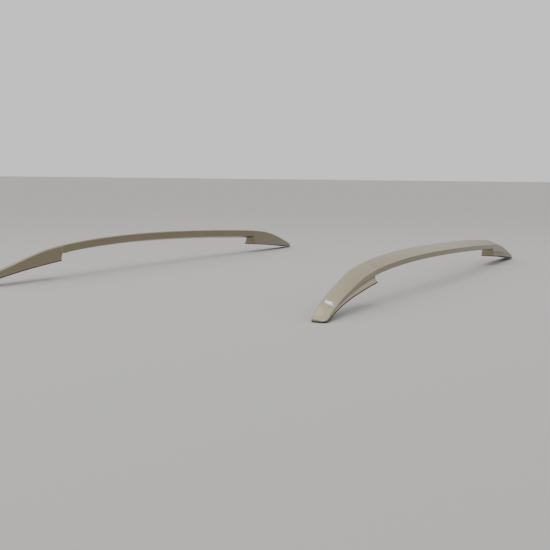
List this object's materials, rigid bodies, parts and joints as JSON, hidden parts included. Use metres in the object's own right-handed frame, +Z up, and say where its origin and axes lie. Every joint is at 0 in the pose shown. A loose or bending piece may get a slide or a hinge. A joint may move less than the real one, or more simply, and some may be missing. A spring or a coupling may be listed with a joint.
{
  "type": "roof side rail pair",
  "caption": "Pair of raised roof side rails: hollow slanted bars between long moulded foot covers, open below, with brackets, seals and threaded bolt points.",
  "frame": {"origin": "midway between the two rails at mid length, on the plane under the gaskets at the tips", "axes": "+X to the left of the car, +Y along the rails towards the rear, +Z up"},
  "size_m": [1.0876, 1.8, 0.1148],
  "materials": {
    "bar": "satin anodised",
    "cover": "satin silver paint",
    "bracket": "as cast",
    "gasket": "matte",
    "sealing_ring": "matte",
    "bush": "zinc plated",
    "screw": "zinc plated"
  },
  "bodies": {
    "root": {"left_bar": "bar", "left_front_cover": "cover", "left_rear_cover": "cover", "left_front_bracket": "bracket", "left_rear_bracket": "bracket", "left_front_gasket": "gasket", "left_rear_gasket": "gasket", "left_front_bushes": "bush", "left_rear_bushes": "bush", "left_front_sealing_rings": "sealing_ring", "left_rear_sealing_rings": "sealing_ring", "left_front_cover_screws": "screw", "left_rear_cover_screws": "screw", "left_bar_screws": "screw", "right_bar": "bar", "right_front_cover": "cover", "right_rear_cover": "cover", "right_front_bracket": "bracket", "right_rear_bracket": "bracket", "right_front_gasket": "gasket", "right_rear_gasket": "gasket", "right_front_bushes": "bush", "right_rear_bushes": "bush", "right_front_sealing_rings": "sealing_ring", "right_rear_sealing_rings": "sealing_ring", "right_front_cover_screws": "screw", "right_rear_cover_screws": "screw", "right_bar_screws": "screw"}
  },
  "joints": []
}
